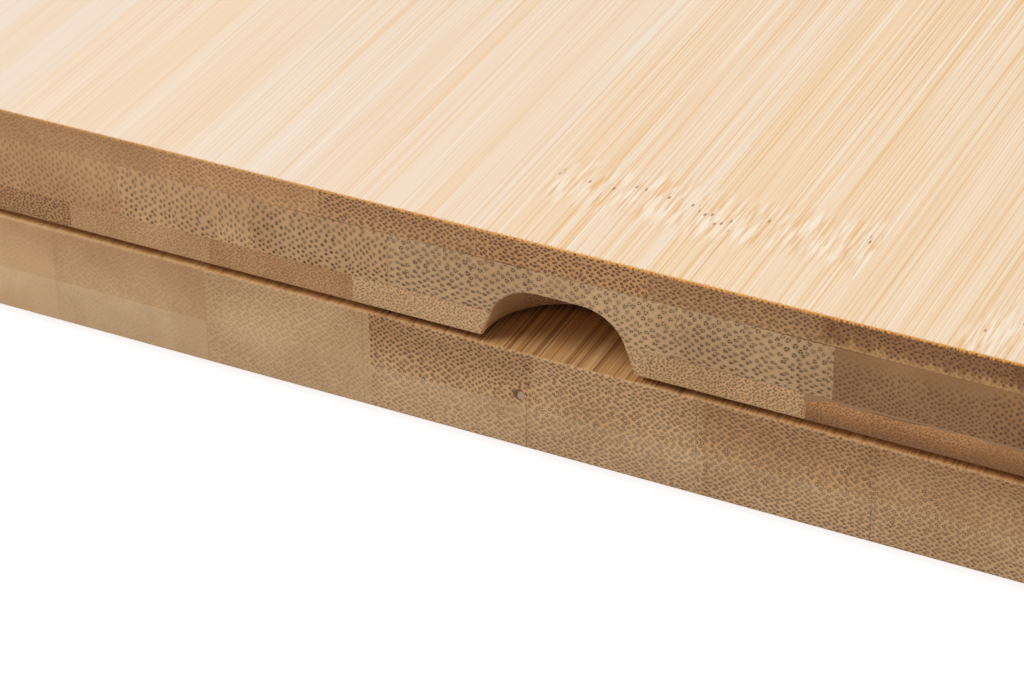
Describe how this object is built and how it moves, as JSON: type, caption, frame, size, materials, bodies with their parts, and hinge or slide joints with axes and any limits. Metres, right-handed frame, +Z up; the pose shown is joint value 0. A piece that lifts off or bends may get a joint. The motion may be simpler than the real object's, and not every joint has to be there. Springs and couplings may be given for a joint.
{
  "type": "cheese board",
  "caption": "Square laminated bamboo cheese board with a pull-out drawer under it, opened by a finger notch in the front edge, and cheese tools lying in the drawer's pockets.",
  "frame": {"origin": "on the surface the board stands on, under the middle of the board", "axes": "+Z up out of the serving face; -Y out of the front edge, the way the drawer pulls; +X to the right seen from the front"},
  "size_m": [0.33, 0.33, 0.0389],
  "materials": {
    "board_bamboo": "fine sanded and oiled bamboo, end grain darker",
    "rail_bamboo": "fine sanded and oiled bamboo",
    "drawer_bamboo": "fine sanded and oiled bamboo, end grain darker",
    "runner_bamboo": "waxed bamboo",
    "handle_bamboo": "polished caramel bamboo",
    "tool_steel": "satin stainless steel",
    "screw_steel": "zinc-plated steel",
    "magnet_plating": "nickel-plated",
    "foot_rubber": "matte"
  },
  "bodies": {
    "board": {"top_ply": "board_bamboo", "core_ply": "board_bamboo", "under_ply": "board_bamboo", "left_rail": "rail_bamboo", "right_rail": "rail_bamboo", "back_rail": "rail_bamboo", "rail_screws": "screw_steel", "front_left_foot": "foot_rubber", "front_right_foot": "foot_rubber", "back_left_foot": "foot_rubber", "back_right_foot": "foot_rubber", "foot_screws": "screw_steel", "rail_magnets": "magnet_plating"},
    "drawer": {"drawer_upper_ply": "drawer_bamboo", "drawer_lower_ply": "drawer_bamboo", "left_runner": "runner_bamboo", "right_runner": "runner_bamboo", "drawer_magnets": "magnet_plating", "fork_handle": "handle_bamboo", "fork_ferrule": "tool_steel", "fork_blade": "tool_steel", "cleaver_handle": "handle_bamboo", "cleaver_ferrule": "tool_steel", "cleaver_blade": "tool_steel", "spade_handle": "handle_bamboo", "spade_ferrule": "tool_steel", "spade_blade": "tool_steel", "slicer_handle": "handle_bamboo", "slicer_ferrule": "tool_steel", "slicer_blade": "tool_steel"}
  },
  "joints": [
    {"name": "drawer_slide", "type": "slide", "parent": "board", "child": "drawer", "axis": [0, -1, 0], "range_m": [0, 0.245]}
  ]
}
